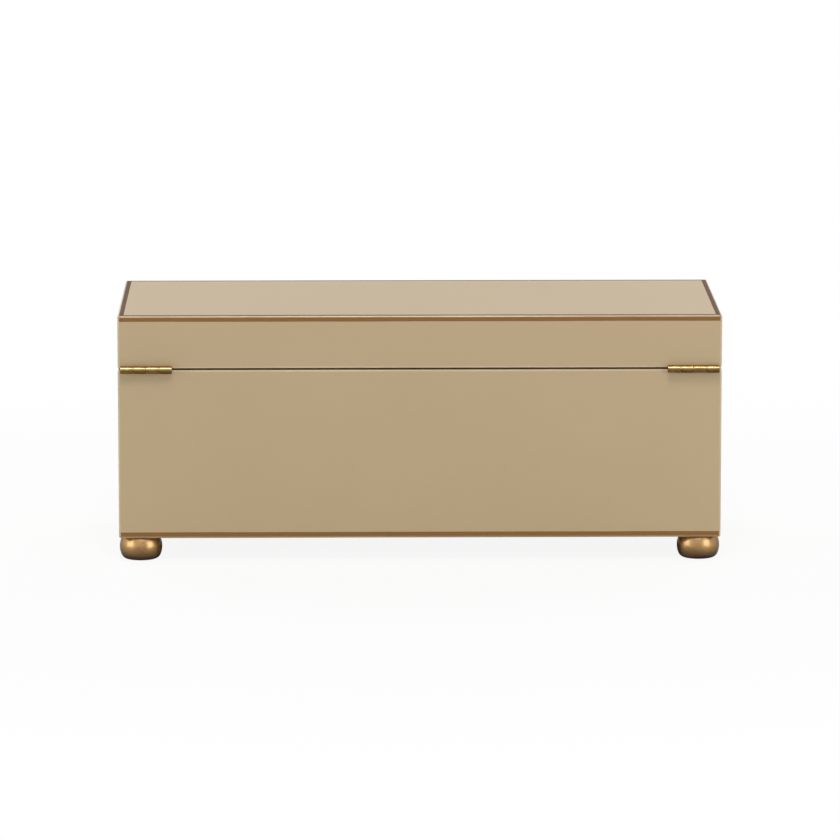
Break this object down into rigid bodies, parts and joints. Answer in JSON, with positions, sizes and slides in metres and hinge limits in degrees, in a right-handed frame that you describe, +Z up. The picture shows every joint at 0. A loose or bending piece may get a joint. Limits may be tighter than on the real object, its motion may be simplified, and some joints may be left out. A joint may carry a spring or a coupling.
{
  "type": "watercolour paint drawer box",
  "caption": "Lacquered wooden paint box on brass ball feet: a hinged lid over a divided well, and a full-width drawer below it.",
  "frame": {"origin": "on the floor under the feet, at the middle of the whole footprint, knobs and hinge barrels included", "axes": "+Z up, the drawer opens towards -Y, the hinges are at +Y, +X to the right seen from the front"},
  "size_m": [0.305, 0.143, 0.1259],
  "materials": {
    "lacquer": "taupe satin lacquer with painted gilt bands along the edges",
    "beech": "clear satin finish on beech",
    "antique_brass": "satin, antiqued",
    "polished_brass": "polished",
    "steel": "zinc plated",
    "felt": "pressed wool felt"
  },
  "bodies": {
    "case": {"case_back": "lacquer", "case_base": "lacquer", "case_front": "lacquer", "case_left_side": "lacquer", "case_right_side": "lacquer", "cross_divider_1": "beech", "cross_divider_2": "beech", "cross_divider_3": "beech", "cross_divider_4": "beech", "cross_divider_5": "beech", "drawer_stops": "beech", "foot_back_left": "antique_brass", "foot_back_right": "antique_brass", "foot_front_left": "antique_brass", "foot_front_right": "antique_brass", "foot_studs": "steel", "hinge_case_screws": "polished_brass", "left_hinge_case_leaf": "polished_brass", "left_hinge_pin": "polished_brass", "lid_bumpers": "felt", "right_hinge_case_leaf": "polished_brass", "right_hinge_pin": "polished_brass", "row_divider": "beech", "trough_divider": "beech", "well_floor": "beech"},
    "lid": {"hinge_lid_screws": "polished_brass", "left_hinge_lid_leaf": "polished_brass", "lid_back": "lacquer", "lid_front": "lacquer", "lid_left_side": "lacquer", "lid_panel": "lacquer", "lid_right_side": "lacquer", "right_hinge_lid_leaf": "polished_brass"},
    "drawer": {"drawer_back": "beech", "drawer_bottom": "beech", "drawer_front": "lacquer", "drawer_left_divider": "beech", "drawer_left_knob": "antique_brass", "drawer_left_side": "beech", "drawer_right_divider": "beech", "drawer_right_knob": "antique_brass", "drawer_right_side": "beech", "knob_screws": "steel"}
  },
  "joints": [
    {"name": "lid_hinge", "type": "hinge", "parent": "case", "child": "lid", "pos_m": [0, 0.06957, 0.09865], "axis": [-1, 0, 0], "range_deg": [0, 105]},
    {"name": "drawer_slide", "type": "slide", "parent": "case", "child": "drawer", "axis": [0, -1, 0], "range_m": [0, 0.085]}
  ]
}
